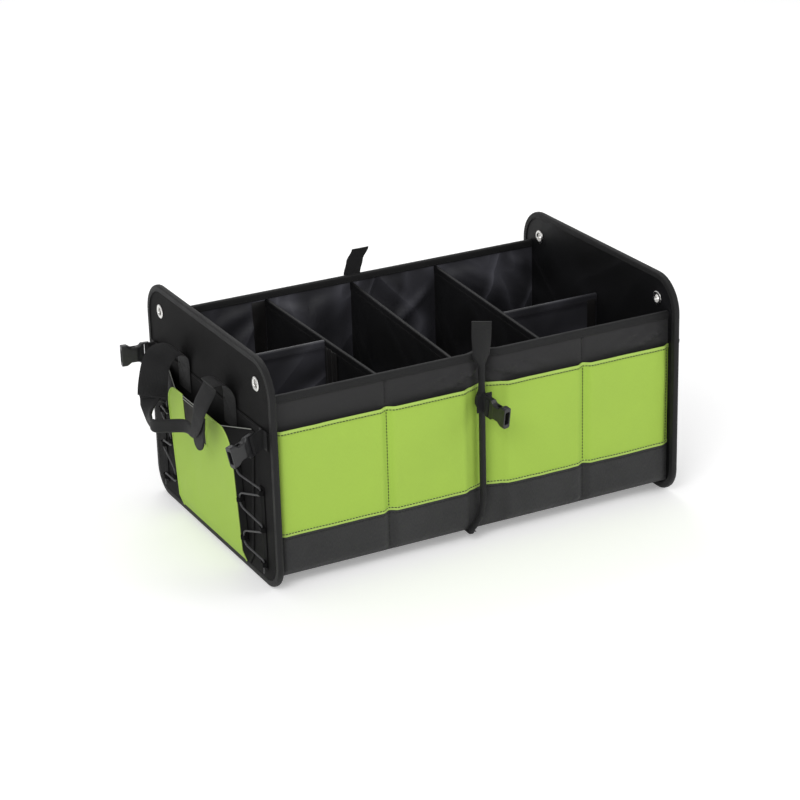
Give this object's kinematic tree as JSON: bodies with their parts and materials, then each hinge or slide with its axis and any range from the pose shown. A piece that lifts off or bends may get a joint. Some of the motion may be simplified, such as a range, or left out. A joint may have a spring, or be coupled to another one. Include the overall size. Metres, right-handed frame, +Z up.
{
  "type": "car organizer",
  "caption": "Collapsible car boot organizer with stiff end panels, cloth walls, dividers, pockets, webbing handles and swinging strap buckles.",
  "frame": {"origin": "Centre of the bounding box in plan, on the floor plane that the two end panels stand on.", "axes": "+X along the length towards the plain end, -Y out of the wall with the coloured pockets, +Z up."},
  "size_m": [0.7296, 0.4691, 0.304],
  "materials": {
    "black_cloth": "matte woven polyester",
    "green_cloth": "matte woven polyester",
    "lining": "smooth coated lining cloth",
    "binding": "ribbed edge tape",
    "board": "grey board, sewn in",
    "webbing": "ribbed webbing",
    "lace": "braided elastic cord",
    "buckle": "satin moulded plastic",
    "steel": "nickel plated"
  },
  "bodies": {
    "organizer": {"base_board_left": "lining", "base_board_right": "lining", "base_cloth": "black_cloth", "bay_divider_left": "lining", "bay_divider_right": "lining", "centre_strap": "webbing", "divider_left": "lining", "divider_middle": "lining", "divider_right": "lining", "end_panel_loops_front": "webbing", "end_panel_loops_rear": "webbing", "end_pocket_face": "green_cloth", "end_pocket_gusset_front": "black_cloth", "end_pocket_gusset_rear": "black_cloth", "end_pocket_lace_front": "lace", "end_pocket_lace_rear": "lace", "end_pocket_loops_front": "webbing", "end_pocket_loops_rear": "webbing", "end_pocket_mesh_insert": "lining", "front_buckle_tab": "webbing", "front_pocket_green_band": "green_cloth", "front_pocket_lower_band": "black_cloth", "front_rim_binding": "binding", "front_wall_board_left": "board", "front_wall_board_right": "board", "front_wall_lining": "lining", "front_wall_outer_cloth": "black_cloth", "left_end_binding": "binding", "left_end_board": "board", "left_end_lining": "lining", "left_end_lower_panel": "black_cloth", "left_end_outer_cloth": "black_cloth", "left_eyelet_front": "steel", "left_eyelet_rear": "steel", "left_front_buckle_tab": "webbing", "left_handle": "webbing", "left_rear_buckle_tab": "webbing", "rear_buckle_tab": "webbing", "rear_rim_binding": "binding", "rear_wall_board_left": "board", "rear_wall_board_right": "board", "rear_wall_lining": "lining", "rear_wall_outer_cloth": "black_cloth", "right_end_binding": "binding", "right_end_board": "board", "right_end_lining": "lining", "right_end_outer_cloth": "black_cloth", "right_eyelet_front": "steel", "right_eyelet_rear": "steel", "right_front_buckle_tab": "webbing", "right_handle": "webbing", "right_rear_buckle_tab": "webbing"},
    "front_buckle_half": {"front_buckle": "buckle"},
    "rear_buckle_half": {"rear_buckle": "buckle"},
    "left_front_buckle_half": {"left_front_buckle": "buckle"},
    "left_rear_buckle_half": {"left_rear_buckle": "buckle"},
    "right_front_buckle_half": {"right_front_buckle": "buckle"},
    "right_rear_buckle_half": {"right_rear_buckle": "buckle"}
  },
  "joints": [
    {"name": "front_buckle_swing", "type": "hinge", "parent": "organizer", "child": "front_buckle_half", "pos_m": [0.004, -0.19658, 0.19109], "axis": [0, -0.1736, 0.9848], "range_deg": [-85, 60]},
    {"name": "rear_buckle_swing", "type": "hinge", "parent": "organizer", "child": "rear_buckle_half", "pos_m": [0.004, 0.19807, 0.18984], "axis": [0, 0.1736, 0.9848], "range_deg": [-75, 75]},
    {"name": "left_front_buckle_swing", "type": "hinge", "parent": "organizer", "child": "left_front_buckle_half", "pos_m": [-0.31014, -0.17, 0.19957], "axis": [-0.2079, 0, 0.9781], "range_deg": [-85, 60]},
    {"name": "left_rear_buckle_swing", "type": "hinge", "parent": "organizer", "child": "left_rear_buckle_half", "pos_m": [-0.3065, 0.17, 0.207], "axis": [0, 0, 1], "range_deg": [-65, 80]},
    {"name": "right_front_buckle_swing", "type": "hinge", "parent": "organizer", "child": "right_front_buckle_half", "pos_m": [0.30346, -0.17, 0.20071], "axis": [0.2079, 0, 0.9781], "range_deg": [-145, 3]},
    {"name": "right_rear_buckle_swing", "type": "hinge", "parent": "organizer", "child": "right_rear_buckle_half", "pos_m": [0.30884, 0.17, 0.19957], "axis": [0.2079, 0, 0.9781], "range_deg": [-75, 75]}
  ]
}
